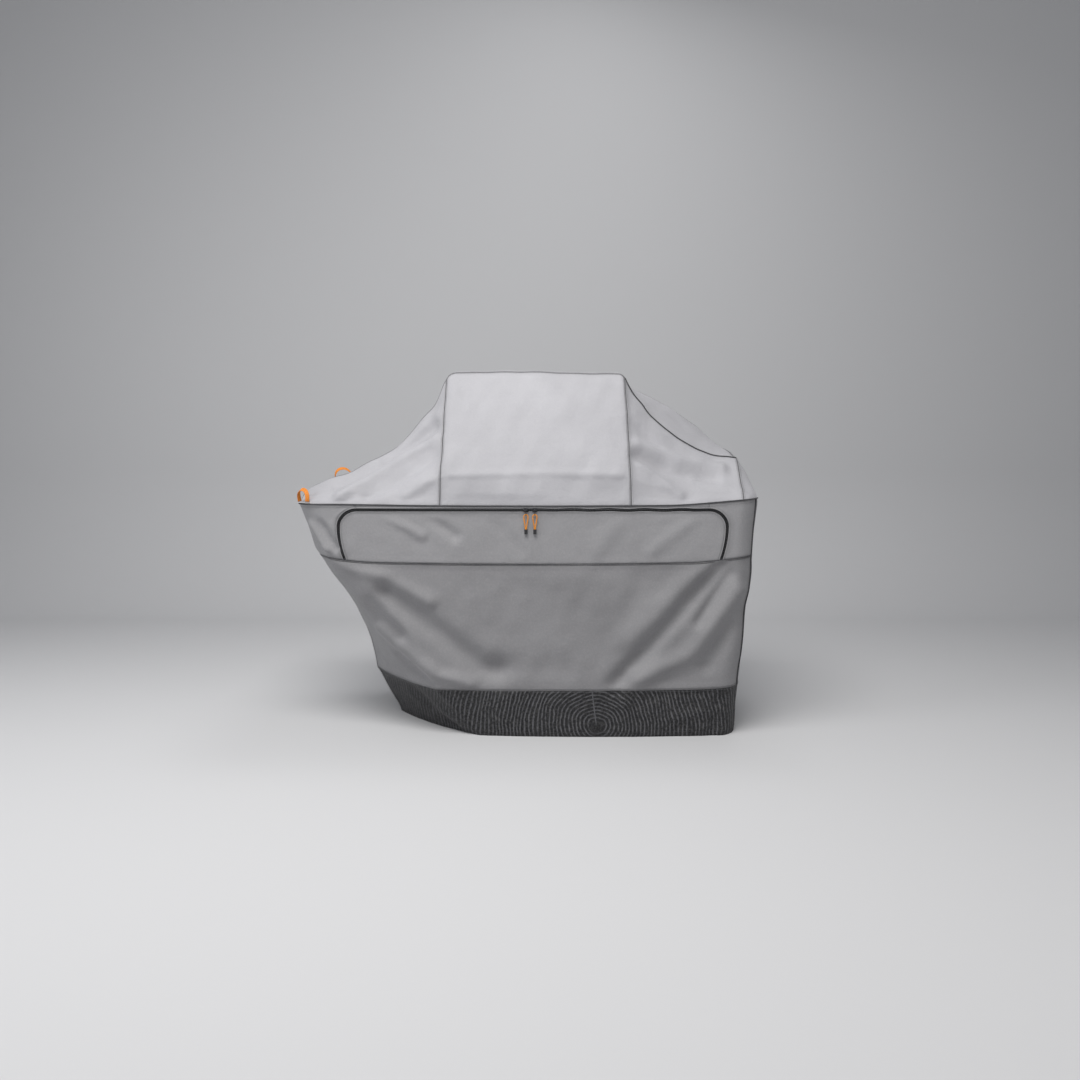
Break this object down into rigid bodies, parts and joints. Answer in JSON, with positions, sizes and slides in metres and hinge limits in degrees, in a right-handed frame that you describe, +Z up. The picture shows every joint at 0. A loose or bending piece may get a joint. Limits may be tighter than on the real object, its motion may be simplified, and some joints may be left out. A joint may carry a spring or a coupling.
{
  "type": "grill cover",
  "caption": "Sewn fabric hood for an outdoor grill, with a raised crown, sloping shoulders, a dark hem, a zip-open front flap and webbing grab loops.",
  "frame": {"origin": "under the middle of the cover, at the level of the hem's lower edge", "axes": "+X to the viewer's right across the front, +Y to the back, +Z up"},
  "size_m": [1.5096, 0.6736, 1.1931],
  "materials": {
    "crown_fabric": "light grey coated woven polyester, soft sheen",
    "shell_fabric": "mid grey coated woven polyester, soft sheen",
    "hem_fabric": "charcoal woven polyester with a printed wood-ring pattern",
    "piping": "black corded piping",
    "zip_tape": "black woven tape",
    "zip_teeth": "black moulded teeth",
    "zip_metal": "black enamelled, worn at the edges",
    "pull_wire": "dark plated wire",
    "pull_cord": "orange braided cord",
    "pull_tip": "black moulded tip",
    "webbing": "orange woven webbing with stitching",
    "loop_patch": "grey reinforcing patch with stitching"
  },
  "bodies": {
    "cover": {"crown_front_panel": "crown_fabric", "crown_top_panel": "crown_fabric", "crown_back_panel": "crown_fabric", "left_shoulder_front": "crown_fabric", "left_shoulder_top": "crown_fabric", "left_shoulder_back": "crown_fabric", "left_end_panel": "crown_fabric", "right_shoulder_front": "crown_fabric", "right_shoulder_top": "crown_fabric", "right_shoulder_back": "crown_fabric", "right_end_panel": "crown_fabric", "front_skirt": "shell_fabric", "left_side_panel": "shell_fabric", "right_side_panel": "shell_fabric", "back_panel": "shell_fabric", "front_left_corner_panel": "shell_fabric", "front_right_corner_panel": "shell_fabric", "zip_header": "shell_fabric", "hem_front": "hem_fabric", "hem_left": "hem_fabric", "hem_right": "hem_fabric", "hem_back": "hem_fabric", "ledge_piping": "piping", "right_slope_piping": "piping", "right_corner_piping": "piping", "zip_tape_cover": "zip_tape", "zip_teeth_cover": "zip_teeth", "zip_stop_left": "zip_metal", "zip_stop_right": "zip_metal", "loop_patch_front": "loop_patch", "loop_patch_rear": "loop_patch"},
    "flap": {"front_flap": "shell_fabric", "zip_tape_flap": "zip_tape", "zip_teeth_flap": "zip_teeth"},
    "slider_left": {"slider_left": "zip_metal"},
    "slider_right": {"slider_right": "zip_metal"},
    "pull_left": {"pull_bail_left": "pull_wire", "pull_cord_left": "pull_cord", "pull_tip_left": "pull_tip"},
    "pull_right": {"pull_bail_right": "pull_wire", "pull_cord_right": "pull_cord", "pull_tip_right": "pull_tip"},
    "loop_front": {"grab_loop_front": "webbing"},
    "loop_rear": {"grab_loop_rear": "webbing"}
  },
  "joints": [
    {"name": "flap_fold", "type": "hinge", "parent": "cover", "child": "flap", "pos_m": [0, -0.33, 0.565], "axis": [1, 0, 0], "range_deg": [0, 165]},
    {"name": "slider_left_run", "type": "slide", "parent": "flap", "child": "slider_left", "axis": [-1, 0, 0], "range_m": [0, 0.52]},
    {"name": "slider_right_run", "type": "slide", "parent": "flap", "child": "slider_right", "axis": [1, 0, 0], "range_m": [0, 0.535]},
    {"name": "pull_left_swing", "type": "hinge", "parent": "slider_left", "child": "pull_left", "pos_m": [0, -0.3358, 0.729], "axis": [-1, 0, 0], "range_deg": [0, 165]},
    {"name": "pull_right_swing", "type": "hinge", "parent": "slider_right", "child": "pull_right", "pos_m": [0.028, -0.3358, 0.729], "axis": [-1, 0, 0], "range_deg": [0, 165]},
    {"name": "loop_front_flop", "type": "hinge", "parent": "cover", "child": "loop_front", "pos_m": [-0.7119, -0.2741, 0.752], "axis": [0.6097, -0.7926, 0], "range_deg": [-30, 30]},
    {"name": "loop_rear_flop", "type": "hinge", "parent": "cover", "child": "loop_rear", "pos_m": [-0.6658, 0.1, 0.82663], "axis": [0.8638, 0, 0.5039], "range_deg": [-30, 30]}
  ]
}
